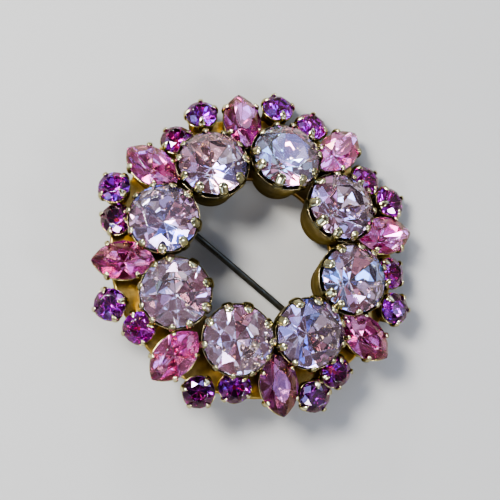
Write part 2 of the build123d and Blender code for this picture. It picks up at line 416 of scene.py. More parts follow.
@dataclass(frozen=True)
class RoundOutline:
    """Circle; a small cup's may be flattened between four claws by a share of the radius."""

    across: float
    flat: float = 0.0

    def at(self, angles: Array, grow: float = 0.0) -> Array:
        """Gives X and Y, moved out by a distance, with the flats as the fourfold cosine."""
        radius = (self.across / 2 + grow) * (1 - self.flat * (1 - np.cos(4 * angles)) / 2)
        return radius[..., None] * circle(angles)


@dataclass(frozen=True)
class PointedOutline:
    """Two equal arcs that meet in points on the X axis."""

    length: float
    across: float

    @property
    def arc_radius(self) -> float:
        """Radius of each arc."""
        return (self.length**2 + self.across**2) / (4 * self.across)

    def at(self, angles: Array, grow: float = 0.0) -> Array:
        """Gives X and Y: X goes as the angle's cosine, and Y is the arc's height there.

        Args:
            angles: Angles in radians.
            grow: Distance by which the arcs are moved out.

        Returns:
            X and Y at each angle.
        """
        radius, offset = self.arc_radius + grow, self.arc_radius - self.across / 2
        tip = np.sqrt(radius**2 - offset**2)
        x = tip * np.cos(angles)
        y = np.sqrt(np.maximum(radius**2 - x**2, offset**2)) - offset
        return np.stack([x, np.sign(np.sin(angles).round(9)) * y], -1)


Outline = RoundOutline | PointedOutline


@dataclass(frozen=True)
class Cut:
    """A stone's cut: outlines of its girdle and table, and its heights above and below."""

    girdle: Outline
    table: Outline
    crown: float
    pavilion: float
    girdle_thickness: float = 0.14


# Finishes, with painted light and shade


@dataclass(frozen=True)
class Mottle:
    """Soft blotches: grain in millimetres, octaves, edges of the noise, and the values there."""

    size: float
    detail: float
    low: float
    high: float
    start: float = 0.0
    end: float = 1.0


class NodeSheet:
    """Nodes of one material or of the world, added and linked by short calls."""

    def __init__(self, owner: bpy.types.ID) -> None:
        """Starts with the shader that a new material or world has.

        Args:
            owner: The material or world.
        """
        owner.use_nodes = True
        self.owner = owner
        self.tree = owner.node_tree
        self.shader = self.tree.nodes.get("Principled BSDF") or self.tree.nodes["Background"]

    @classmethod
    def of_material(cls, name: str) -> "NodeSheet":
        """Starts a new material."""
        return cls(bpy.data.materials.new(name))

    def add(self, kind: str, settings: dict | None = None, **inputs: object) -> bpy.types.Node:
        """Adds a node.

        Args:
            kind: Blender's name of the node's type.
            settings: Properties of the node.
            **inputs: Values or output sockets for its inputs; an underscore stands for a space.

        Returns:
            The node.
        """
        node = self.tree.nodes.new(kind)
        for name, value in (settings or {}).items():
            setattr(node, name, value)
        self.feed(node, **inputs)
        return node

    def feed(self, node: bpy.types.Node, **inputs: object) -> None:
        """Sets or links inputs of a node, by name or by a number after the letter n.

        Args:
            node: The node.
            **inputs: Values or output sockets.
        """
        for name, value in inputs.items():
            numbered = name[0] == "n" and name[1:].isdigit()
            socket = node.inputs[int(name[1:]) if numbered else name.replace("_", " ")]
            if isinstance(value, Socket):
                self.tree.links.new(value, socket)
            else:
                socket.default_value = value

    def noise(self, size: float, detail: float, stretch: Triple = (1, 1, 1)) -> Socket:
        """Gives a noise on Object coordinates.

        Args:
            size: Size of its grains in millimetres.
            detail: Octaves of detail.
            stretch: Scale along X, Y and Z.

        Returns:
            The noise's value, 0 to 1.
        """
        place = self.add("ShaderNodeTexCoord").outputs["Object"]
        place = self.add("ShaderNodeMapping", Vector=place, Scale=stretch).outputs["Vector"]
        noise = self.add("ShaderNodeTexNoise", Vector=place, Scale=1000 / size, Detail=detail)
        return noise.outputs["Fac"]

    def spread(self, value: Socket, low: float, high: float, a: float = 0, b: float = 1) -> Socket:
        """Maps low..high smoothly to a..b.

        Args:
            value: The value to map.
            low: Where it starts.
            high: Where it ends.
            a: Result at the start.
            b: Result at the end.

        Returns:
            The mapped value.
        """
        settings = {"interpolation_type": "SMOOTHSTEP"}
        node = self.add("ShaderNodeMapRange", settings, n0=value, n1=low, n2=high, n3=a, n4=b)
        return node.outputs[0]

    def mottle(self, spots: Mottle) -> Socket:
        """Gives the value of soft blotches."""
        noise = self.noise(spots.size, spots.detail)
        return self.spread(noise, spots.low, spots.high, spots.start, spots.end)

    def attribute(self, name: str, output: str) -> Socket:
        """Reads an attribute of the piece's mesh."""
        return self.add("ShaderNodeAttribute", {"attribute_name": name}).outputs[output]

    def plus(self, base: object, share: float, value: Socket) -> Socket:
        """Gives a base plus a share of a value."""
        settings = {"operation": "MULTIPLY_ADD"}
        return self.add("ShaderNodeMath", settings, n0=value, n1=share, n2=base).outputs[0]

    def blend(self, share: object, first: object, second: object, how: str = "MIX") -> Socket:
        """Mixes two colours.

        Args:
            share: How much of the second, 0 to 1.
            first: First colour or socket.
            second: Second colour or socket.
            how: Blender's name of the mix.

        Returns:
            The mixed colour.
        """
        node = self.add("ShaderNodeMix", {"data_type": "RGBA", "blend_type": how})
        colours = [c if isinstance(c, Socket) else (*c, 1.0) for c in (first, second)]
        self.feed(node, n0=share, n6=colours[0], n7=colours[1])
        return node.outputs[2]

    def bump(self, height: Socket, strength: float, depth: float) -> None:
        """Roughens the shader's normal by a height of 0 to 1 that is some millimetres deep."""
        node = self.add("ShaderNodeBump", Strength=strength, Distance=depth / 1000, Height=height)
        self.feed(self.shader, Normal=node.outputs["Normal"])


@dataclass(frozen=True)
class Plating:
    """Antique gold plate: rubbed bright where it stands proud, brown in the recesses with patina
    and painted shade, scratched.
    """

    name: str
    bright: Colour
    dull: Colour
    # Brown of patina and of painted shade, laid on where the per-point value is high
    tarnish_and_shade: Colour
    shine: float
    edge: Colour = (0.50, 0.44, 0.28)
    wear_size: float = 1.3
    wear_edges: Pair = (0.35, 0.65)
    stain_and_shade_wear: float = 0.5
    stain_and_shade_edges: Pair = (0.45, 1.15)
    stain_and_shade_roughness: float = 0.18
    grain_size: float = 0.16
    grain_roughness: float = 0.08
    scratch_size: float = 0.5
    scratch_stretch: Triple = (1, 3, 1)
    scratch_height: float = 0.3
    relief: Pair = (0.3, 0.006)

    def build(self) -> bpy.types.Material:
        """Builds the material.

        Wear blends the bright tone into the dull one. Wear and the per-point value of patina and
        painted shade together lay the brown of patina and painted shade over both, and roughen it.

        Returns:
            The material.
        """
        sheet = NodeSheet.of_material(self.name)
        wear, grain = sheet.noise(self.wear_size, 4), sheet.noise(self.grain_size, 3)
        scratch = sheet.noise(self.scratch_size, 5, self.scratch_stretch)
        lustre = sheet.blend(sheet.spread(wear, *self.wear_edges), self.bright, self.dull)
        # Per-point patina and painted shade of dark recesses, blended with wear into the brown
        mottled = sheet.plus(sheet.attribute("tarnish_and_shade", "Fac"), self.stain_and_shade_wear, wear)
        stain_and_shade = sheet.spread(mottled, *self.stain_and_shade_edges)
        colour = sheet.blend(stain_and_shade, lustre, self.tarnish_and_shade)
        rough = sheet.plus(self.shine, self.stain_and_shade_roughness, stain_and_shade)
        rough = sheet.plus(rough, self.grain_roughness, grain)
        sheet.feed(sheet.shader, Base_Color=colour, Metallic=1.0, Roughness=rough)
        sheet.feed(sheet.shader, Specular_Tint=(*self.edge, 1.0))
        sheet.bump(sheet.plus(grain, self.scratch_height, scratch), *self.relief)
        return sheet.owner


@dataclass(frozen=True)
class Glass:
    """Cut glass with a foil behind it; each facet has a tint of its own. The foil's tints stand
    partly for a coloured coating and partly paint coloured flashes of reflected light.
    """

    name: str
    body: Colour
    foil: Colour
    crown_tints: tuple[Colour, ...]
    foil_tints_and_flashes: tuple[Colour, ...]
    film: float = 0.0
    # Darker tint of the table facet: painted shade
    table_shade_tint: Colour = (1, 1, 1)
    bend: float = 1.56
    veil: float = 0.0
    blur: float = 0.01
    film_bend: float = 1.8
    cloud: Mottle = Mottle(2.4, 2, 0.3, 0.7, 0.0, 0.25)
    polish: Mottle = Mottle(0.25, 4, 0.45, 0.8, 0.0, 0.04)
    ripple_size: float = 0.6
    ripple: Pair = (0.07, 0.006)
    frost: Colour = (1.0, 0.98, 0.98)
    edge_wear: Mottle = Mottle(1.1, 3, 0.4, 0.7)
    edge_polish: Mottle = Mottle(0.4, 3, 0.3, 0.8, 0.08, 0.25)
    foil_cloud: Mottle = Mottle(0.8, 3, 0.35, 0.75, 0.0, 0.35)
    foil_blur: float = 0.06
    crinkle_size: float = 0.9
    crinkle: Pair = (0.2, 0.01)

    def crown(self) -> bpy.types.Material:
        """Builds the clear glass of the crown.

        Returns:
            The material.
        """
        sheet = NodeSheet.of_material(self.name + "_crown")
        tint = sheet.blend(1.0, self.body, sheet.attribute("facet", "Color"), "MULTIPLY")
        colour = sheet.blend(sheet.mottle(self.cloud), tint, self.body)
        sheet.feed(sheet.shader, Base_Color=colour, Roughness=sheet.mottle(self.polish))
        sheet.feed(sheet.shader, IOR=self.bend, Transmission_Weight=1 - self.veil)
        sheet.feed(sheet.shader, Thin_Film_Thickness=self.film, Thin_Film_IOR=self.film_bend)
        sheet.bump(sheet.noise(self.ripple_size, 2), *self.ripple)
        return sheet.owner

    def arris(self) -> bpy.types.Material:
        """Builds the worn, slightly frosted edges between the facets.

        Returns:
            The material.
        """
        sheet = NodeSheet.of_material(self.name + "_arris")
        colour = sheet.blend(sheet.mottle(self.edge_wear), self.frost, self.body)
        sheet.feed(sheet.shader, Base_Color=colour, Roughness=sheet.mottle(self.edge_polish))
        sheet.feed(sheet.shader, IOR=self.bend, Transmission_Weight=1.0)
        return sheet.owner

    def backing(self) -> bpy.types.Material:
        """Builds the foil of the pavilion.

        Returns:
            The material.
        """
        sheet = NodeSheet.of_material(self.name + "_foil")
        # Foil tints per facet: partly a coloured coating, partly painted coloured flashes of
        # reflected light
        colour = sheet.blend(1.0, self.foil, sheet.attribute("facet", "Color"), "MULTIPLY")
        colour = sheet.blend(sheet.mottle(self.foil_cloud), colour, self.body, "MULTIPLY")
        rough = sheet.mottle(Mottle(0.3, 3, 0.3, 0.8, self.blur, self.blur + self.foil_blur))
        sheet.feed(sheet.shader, Base_Color=colour, Metallic=1.0, Roughness=rough)
        sheet.bump(sheet.noise(self.crinkle_size, 2), *self.crinkle)
        return sheet.owner


class StoneColour(Enum):
    """Colours of the stones."""

    PALE_LILAC = Glass(
        "pale_lilac",
        body=(0.99, 0.87, 0.95),
        foil=(0.95, 0.93, 1.0),
        crown_tints=((1, 1, 1), (0.92, 0.92, 1.0), (1.0, 0.92, 0.93)),
        foil_tints_and_flashes=(
            (1, 1, 1),
            (1.0, 0.70, 0.64),
            (0.72, 0.66, 1.0),
            (0.36, 0.55, 1.0),
            (0.66, 0.36, 0.40),
            (0.97, 0.93, 1.0),
        ),
        film=155.0,
        table_shade_tint=(0.88, 0.78, 0.85),
        veil=0.02,
    )
    ROSE = Glass(
        "rose",
        body=(0.94, 0.48, 0.76),
        foil=(1.0, 0.84, 0.96),
        crown_tints=((1, 1, 1), (1.0, 0.86, 0.90), (0.98, 0.90, 1.0)),
        foil_tints_and_flashes=((1, 1, 1), (1.0, 0.72, 0.82), (0.95, 0.80, 1.0), (0.50, 0.20, 0.32)),
        film=143.0,
        table_shade_tint=(0.92, 0.76, 0.84),
        bend=1.42,
        blur=0.08,
    )
    FUCHSIA = Glass(
        "fuchsia",
        body=(0.70, 0.06, 0.62),
        foil=(0.92, 0.66, 1.0),
        crown_tints=((1, 1, 1), (0.80, 0.75, 1.0), (1.0, 0.80, 0.95)),
        foil_tints_and_flashes=((1, 1, 1), (0.55, 0.35, 1.0), (1.0, 0.45, 0.85), (0.45, 0.20, 0.50)),
        film=150.0,
    )


class Metal(Enum):
    """Metals: bright, dull, and patina-and-shade colours, and the shine's roughness. Cups and
    claws come as shaded and lit copies of one gold: painted shade and painted light.
    """

    # The first cup gold is darkened as painted shade for the large cups; the outer one is
    # brightened as painted light
    SHADED_CUP = Plating("shaded_cup_gold", (0.35, 0.29, 0.165), (0.23, 0.185, 0.10), (0.15, 0.115, 0.06), 0.21)
    LIT_OUTER_CUP = Plating(
        "lit_outer_cup_gold", (0.58, 0.48, 0.22), (0.36, 0.29, 0.12), (0.14, 0.10, 0.04), 0.14
    )
    # The first claw gold is darkened as painted shade for the large cups' claws; the outer one is
    # brightened as painted light
    SHADED_CLAW = Plating("shaded_claw_gold", (0.48, 0.44, 0.27), (0.29, 0.26, 0.14), (0.14, 0.12, 0.06), 0.10)
    LIT_OUTER_CLAW = Plating(
        "lit_outer_claw_gold", (0.72, 0.67, 0.42), (0.42, 0.37, 0.19), (0.14, 0.11, 0.05), 0.07
    )
    RING = Plating("ring_gold", (0.52, 0.36, 0.11), (0.33, 0.22, 0.06), (0.14, 0.085, 0.028), 0.24)
    FINDING = Plating(
        "finding_gold", (0.48, 0.38, 0.18), (0.34, 0.26, 0.11), (0.12, 0.08, 0.03), 0.22
    )
    PIN = Plating("pin_steel", (0.09, 0.09, 0.075), (0.06, 0.06, 0.05), (0.03, 0.03, 0.02), 0.24)


class Dresser:
    """Makes the meshes into pieces, and keeps one material for each plating or glass, the lit and
    shaded copies with painted light counted apart.
    """

    def __init__(self, rest: Rest) -> None:
        """Starts with no materials made."""
        self.rest = rest
        self.made: dict[object, bpy.types.Material] = {}

    def material(self, key: object, build: Callable[[], bpy.types.Material]) -> bpy.types.Material:
        """Gives a material, built once.

        Args:
            key: What the material is kept under.
            build: Builds it.

        Returns:
            The material.
        """
        if key not in self.made:
            self.made[key] = build()
        return self.made[key]

    def mesh(self, name: str, shell: Shell, smooth: bool) -> bpy.types.Object:
        """Makes a shell an object that lies as the brooch does.

        Args:
            name: Name of the piece.
            shell: Its shell, in flat millimetres.
            smooth: Whether it is shaded smooth.

        Returns:
            The object.
        """
        mesh = bpy.data.meshes.new(name)
        faces = [corners for block in shell.faces for corners in block.tolist()]
        mesh.from_pydata(self.rest.lay_down(shell.points).tolist(), [], faces)
        # Per-point patina and painted shade for the metal materials
        tarnish_and_shade = mesh.attributes.new("tarnish_and_shade", "FLOAT", "POINT")
        tarnish_and_shade.data.foreach_set("value", shell.tarnish_and_shade.ravel())
        mesh.polygons.foreach_set("use_smooth", np.full(len(faces), smooth))
        mesh.update()
        return added(name, mesh)

    def metal(self, name: str, shells: list[tuple[Shell, Metal]]) -> bpy.types.Object:
        """Makes a metal piece of shells whose platings may differ, in colour and in painted light
        and shade.

        Args:
            name: Name of the piece.
            shells: Each shell with its plating, lit and shaded copies carrying painted light and
                shade.

        Returns:
            The piece, dressed.
        """
        piece = self.mesh(name, joined([shell for shell, _ in shells]), True)
        finishes_and_light = list(dict.fromkeys(metal for _, metal in shells))
        for metal in finishes_and_light:
            piece.data.materials.append(self.material(metal, metal.value.build))
        counts = [sum(len(block) for block in shell.faces) for shell, _ in shells]
        slots = np.repeat([finishes_and_light.index(metal) for _, metal in shells], counts)
        piece.data.polygons.foreach_set("material_index", slots)
        return piece

    def soften(
        self,
        piece: bpy.types.Object,
        width: float,
        segments: int,
        slot: int = -1,
        least: float = 30.0,
    ) -> None:
        """Bevels a piece's sharp edges.

        Args:
            piece: The piece.
            width: Width of the bevel in millimetres.
            segments: Faces across it.
            slot: Number of the material that the bevel gets, or -1 for its neighbour's.
            least: Smallest angle in degrees between the faces of a sharp edge.
        """
        bevel = piece.modifiers.new("soft_edges", "BEVEL")
        bevel.width = width * self.rest.metre
        bevel.segments = segments
        bevel.material = slot
        bevel.limit_method = "ANGLE"
        bevel.angle_limit = np.radians(least)
        bevel.harden_normals = True


# Cups and claws


class Rim(Enum):
    """How a cup's rim lies: distance outside the girdle, drop below it, patina and painted shade
    of the seat.
    """

    OPEN = (0.36, 0.42, 0.6)
    CLOSE = (0.20, 0.26, 0.2)
    POINTED = (0.06, 0.3, 0.6)
    SMALL = (0.14, 0.26, 0.6)


@dataclass(frozen=True)
class Claw:
    """A claw: a flat bar that stands at the stone's edge and is bent over on to the crown.

    Its middle line is the stone's own side moved out by the clearance and half the bar, and
    its section is an oval that narrows to the tip, round or drawn out to a point.
    """

    width: float
    thickness: float
    reach: float
    depth: float
    tip_length: float
    tip_power: float
    swell: float = 0.0
    swell_place: float = 0.25
    swell_length: float = 0.35
    clearance: float = 0.04
    foot_in: float = 0.42
    foot_top: float = 0.62
    knee: float = 0.6
    bend: float = 0.3
    bend_steps: int = 7
    roundness: float = 0.85
    # Darkening at the foot that falls off up the claw: painted shade with patina
    foot_shade_and_tarnish: float = 0.9
    shade_and_tarnish_fall: float = 1.1
    rows: int = 26
    columns: int = 20
    last_row: float = 0.999

    def shell(self, cut: Cut, bite: float) -> Shell:
        """Builds the claw: the stone's edge is the Y axis and the stone lies on the -X side.

        Args:
            cut: Cut of the stone that it holds.
            bite: Share of its full reach, up to 1, that this claw comes in over the stone.

        Returns:
            The claw's shell.
        """
        stone, table, edge = cut.girdle.across, cut.table.across, cut.girdle_thickness / 2
        corner = (stone - KITE_PUSH * (stone + table) / 2) / 2
        corner_height = (cut.crown + edge) / 2
        reach = self.reach * bite
        inward = np.array([0.0, min(corner, self.knee * reach), reach])
        crown_places = [0.0, corner, (stone - table) / 2]
        crown_line = np.interp(inward, crown_places, [edge, corner_height, cut.crown])
        foot = np.array([(-self.foot_in, -self.depth), (0.0, -self.foot_top * self.depth)])
        side = np.concatenate([foot, np.stack([-inward, crown_line], -1)])
        middle = offset_line(side, self.clearance + self.thickness / 2)
        line = eased(middle, self.bend, self.bend_steps)
        share = np.sin(np.linspace(0.0, np.pi / 2, self.rows)) * self.last_row
        path = spaced(line, share)
        run = np.gradient(path, axis=0)
        run /= np.linalg.norm(run, axis=1, keepdims=True)
        length = np.linalg.norm(np.diff(line, axis=0), axis=1).sum()
        near_tip = np.clip((share * length - length + self.tip_length) / self.tip_length, 0, 1)
        narrowed = (1 - near_tip**self.tip_power) ** (1 / self.tip_power)
        off_swell = (near_tip - self.swell_place) / self.swell_length
        swollen = 1 + self.swell * np.exp(-(off_swell**2))
        half_width = self.width * (1 + bite) / 4 * narrowed * swollen
        half_thick = self.thickness / 2 * np.sqrt(1 - near_tip**4) * swollen
        angle = round_steps(self.columns)
        across = np.sign(np.cos(angle)) * np.abs(np.cos(angle)) ** self.roundness
        out = np.sin(angle)
        grid = np.empty((self.rows, self.columns, 3))
        grid[..., 0] = path[:, :1] + half_thick[:, None] * run[:, 1:] * out
        grid[..., 1] = half_width[:, None] * across
        grid[..., 2] = path[:, 1:] - half_thick[:, None] * run[:, :1] * out
        # Painted shade with patina: darker at the foot, lighter up the claw
        rise = (path[:, 1] + self.depth) / (corner_height + self.depth)
        return capped_shell(grid, np.clip(self.foot_shade_and_tarnish - self.shade_and_tarnish_fall * rise, 0, 1))


@dataclass(frozen=True)
class Cup:
    """A stone's cup: a profile carried along the stone's outline, with its claws.

    The profile starts at the middle of the floor, climbs the seat, crosses the rim, steps in
    under the ledge and goes down the bowl to the foot, which is flush with the brooch's back.
    """

    name: str
    cut: Cut
    outline: Outline
    columns: int
    height: float
    belly: Pair
    foot_grow: float
    hollow_grow: float
    claw: Claw
    claw_places: tuple[ClawPlaces, ...]
    rims: tuple[Rim, ...]
    # Outer cups and claws take the brightened golds by default: painted light
    finish_and_light: Metal = Metal.LIT_OUTER_CUP
    claw_finish_and_light: Metal = Metal.LIT_OUTER_CLAW
    rim_wall: float = 0.16
    rim_height: float = 0.3
    waist: float = -0.1
    seat_step: float = 0.4
    under_ledge: float = 0.1
    neck: Pair = (0.02, 0.06)
    floor_room: float = 0.15
    foot_run: float = 2.0
    softness: float = 0.07
    bowl_rows: int = 9
    seat_rows: int = 3
    # Share of the height over which the bowl darkens with depth: painted shade
    darkening: float = 0.6

    def profile(self, rim: float, drop: float) -> Array:
        """Gives the profile as distances outwards from the girdle and heights.

        The bowl is a quadratic curve from the waist to the foot, through the belly.

        Args:
            rim: How far outside the girdle the rim's outer face stands.
            drop: How far below the girdle the rim's top lies.

        Returns:
            Points of the profile.
        """
        wall, waist = self.rim_wall, self.waist
        top, ledge = -drop, -drop - self.rim_height
        floor = -self.cut.pavilion - self.floor_room
        belly_grow, belly_depth = self.belly
        t = np.linspace(0, 1, self.bowl_rows)[:, None]
        start = np.array([waist, ledge - self.under_ledge])
        end = np.array([self.foot_grow, -self.height])
        middle = 2 * np.array([belly_grow, -belly_depth]) - (start + end) / 2
        bowl = (1 - t) ** 2 * start + 2 * t * (1 - t) * middle + t**2 * end
        upper = np.array(
            [
                (self.hollow_grow, floor),
                (-self.seat_step, ledge - self.under_ledge),
                (rim - wall, top - wall / 2),
                (rim - wall / 2, top),
                (rim, top - wall / 2),
                (rim, ledge),
                (waist + self.neck[0], ledge - self.neck[1]),
            ]
        )
        shoulder = eased(np.concatenate([upper, bowl[:1]]), self.softness)
        foot = np.array([(self.foot_grow, -self.height - self.foot_run)])
        return np.concatenate([shoulder, bowl[1:], foot])

    def shell(self, number: int) -> Shell:
        """Carries the profile along the outline.

        Args:
            number: Which cup of its kind, from 0.

        Returns:
            The cup's shell.
        """
        rim, drop, shade_and_tarnish = self.rims[number % len(self.rims)].value
        profile = self.profile(rim, drop)
        angles = round_steps(self.columns)
        rows = [self.outline.at(angles, grow) for grow in profile[:, 0]]
        heights = np.broadcast_to(profile[:, 1:, None], (len(profile), self.columns, 1))
        grid = np.concatenate([np.stack(rows), heights], -1)
        # The seat rows inside the rim get their rim's darkening: painted shade with patina
        inside = np.arange(len(profile)) < self.seat_rows
        # Painted shade: the bowl grows darker with depth below the rim
        below = np.clip((-profile[:, 1] - drop) / (self.darkening * self.height), 0, 1)
        return capped_shell(grid, np.where(inside, shade_and_tarnish, below))

    def claw_shells(self, number: int) -> list[Shell]:
        """Stands the claws round the outline.

        Args:
            number: Which cup of its kind, from 0.

        Returns:
            The claws' shells.
        """
        claws = []
        for side, back, swing, bite in self.claw_places[number % len(self.claw_places)]:
            edge = shift(self.cut.girdle.across / 2 - back, 0, 0)
            place = turn(2, side) @ shift(back, 0, 0) @ turn(2, swing) @ edge
            claws.append(self.claw.shell(self.cut, bite).placed(place))
        return claws

    def build(self, dresser: Dresser, places: list[Array]) -> list[bpy.types.Object]:
        """Builds one cup with its claws at each place.

        Args:
            dresser: Makes the pieces.
            places: Matrices of the girdles.

        Returns:
            The pieces.
        """
        pieces = []
        for number, place in enumerate(places):
            cup = self.shell(number).placed(place).flush_at_back(place[:3, 2])
            claws = [(claw.placed(place), self.claw_finish_and_light) for claw in self.claw_shells(number)]
            pieces.append(dresser.metal(f"{self.name}_{number + 1}", [(cup, self.finish_and_light), *claws]))
        return pieces


# Stones


@dataclass(frozen=True)
class Stone:
    """A brilliant-cut stone: table, stars, kites, a many-sided girdle and a pointed back.

    The painted light levels say how bright each stone's foil is, as a share of the kind's own:
    painted light and shade for how much light falls on each stone.
    """

    name: str
    node: str
    colour: StoneColour
    cut: Cut
    seed: int
    painted_light_levels: tuple[float, ...]
    arris: float = 0.04
    arris_slot: int = 2
    arris_angle: float = 20.0

    def points(self) -> Array:
        """Gives the corners: table, middle, upper and lower girdle, and the point.

        The lower girdle dips between the back facets, so that each of these is flat.

        Returns:
            X, Y and Z of each corner.
        """
        cut, half = self.cut, self.cut.girdle_thickness / 2
        eighths = np.arange(FACETS) * 2 * np.pi / FACETS
        between = eighths + np.pi / FACETS
        girdle = cut.girdle.at(np.arange(2 * FACETS) * np.pi / FACETS)
        middle = (cut.girdle.at(between) + cut.table.at(between)) / 2
        corner = (cut.pavilion - half) / KITE_PUSH - cut.pavilion
        rings = [
            (cut.table.at(eighths), cut.crown),
            (KITE_PUSH * middle, (cut.crown + half) / 2),
            (girdle, half),
            (girdle, np.tile([-half, corner], FACETS)),
            (np.zeros((1, 2)), -cut.pavilion),
        ]
        return np.concatenate([np.c_[ring, z * np.ones(len(ring))] for ring, z in rings])

    def facets(self) -> tuple[list[Array], list[Array]]:
        """Gives the facets as corner numbers.

        Returns:
            The facets of the crown and those of the back.
        """
        i = np.arange(FACETS)
        after, before = (i + 1) % FACETS, (i - 1) % FACETS
        table, middle, upper = i, FACETS + i, 2 * FACETS
        lower, point = 4 * FACETS, np.full(FACETS, 6 * FACETS)
        corner, half_way, end = 2 * i, 2 * i + 1, 2 * after
        crown = [
            table[None, :],
            np.stack([table, middle, table[after]], -1),
            np.stack([table, middle[before], upper + corner, middle], -1),
            np.stack([middle, upper + corner, upper + half_way], -1),
            np.stack([middle, upper + half_way, upper + end], -1),
            np.stack([upper + corner, lower + corner, lower + half_way, upper + half_way], -1),
            np.stack([upper + half_way, lower + half_way, lower + end, upper + end], -1),
        ]
        behind = 2 * before + 1
        pavilion = [np.stack([point, lower + half_way, lower + corner, lower + behind], -1)]
        return crown, pavilion

    def build(self, dresser: Dresser, places: list[Array]) -> list[bpy.types.Object]:
        """Builds one stone at each place, in place of its CAD node.

        Args:
            dresser: Makes the pieces.
            places: Matrices of the girdles.

        Returns:
            The pieces.
        """
        glass = self.colour.value
        crown, pavilion = self.facets()
        counts = sum(map(len, crown)), sum(map(len, pavilion))
        pieces = []
        for number, place in enumerate(places, 1):
            shell = Shell(self.points(), crown + pavilion, np.zeros(6 * FACETS + 1)).placed(place)
            piece = dresser.mesh(f"{self.name}_{number}", shell, False)
            for build in (glass.crown, glass.backing, glass.arris):
                material = dresser.material((glass.name, build.__name__), build)
                piece.data.materials.append(material)
            piece.data.polygons.foreach_set("material_index", np.repeat([0, 1], counts))
            pick = np.random.default_rng(self.seed + number)
            crown_tints = pick.choice(glass.crown_tints, counts[0])
            # Foil tints picked per facet: partly a coloured coating, partly painted flashes
            foil_tints_and_flashes = pick.choice(glass.foil_tints_and_flashes, counts[1])
            # Painted shade: the table facet takes the darker table tint
            crown_tints[0] = glass.table_shade_tint
            # Painted light and shade: each stone's foil brightened or darkened by its own level
            foil_tints_and_flashes = np.clip(foil_tints_and_flashes * self.painted_light_levels[number - 1], 0, 1)
            colours = np.c_[np.concatenate([crown_tints, foil_tints_and_flashes]), np.ones(sum(counts))]
            facet = piece.data.attributes.new("facet", "FLOAT_COLOR", "FACE")
            facet.data.foreach_set("color", colours.ravel())
            dresser.soften(piece, self.arris, 1, self.arris_slot, self.arris_angle)
            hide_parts(f"{self.node}_{number}")
            pieces.append(piece)
        return pieces


# Back of the brooch


@dataclass(frozen=True)
class BaseRing:
    """Flat ring that carries the cups: a rounded strip carried round a circle."""

    inner: float = 9.8
    outer: float = 17.8
    thickness: float = 0.9
    edge: float = 0.3
    # The inner edge is darkened as painted shade beside the cups, over the patina
    inner_shade_and_tarnish: float = 0.9
    outer_tarnish: float = 0.3
    columns: int = 240

    def build(self, dresser: Dresser) -> bpy.types.Object:
        """Builds the ring.

        Args:
            dresser: Makes the piece.

        Returns:
            The piece.
        """
        i, o, h = self.inner, self.outer, self.thickness
        middle = (i + o) / 2
        corners = np.array([(middle, 0), (o, 0), (o, h), (i, h), (i, 0), (middle, 0)], float)
        strip = eased(corners, self.edge, 6)[:-1]
        # Painted shade with patina at the inner edge; plain patina on the outer part
        shade_and_tarnish = np.where(strip[:, 0] < middle, self.inner_shade_and_tarnish, self.outer_tarnish)
        shell = revolved(strip, self.columns, shade_and_tarnish)
        return dresser.metal("base_ring", [(shell, Metal.RING)])


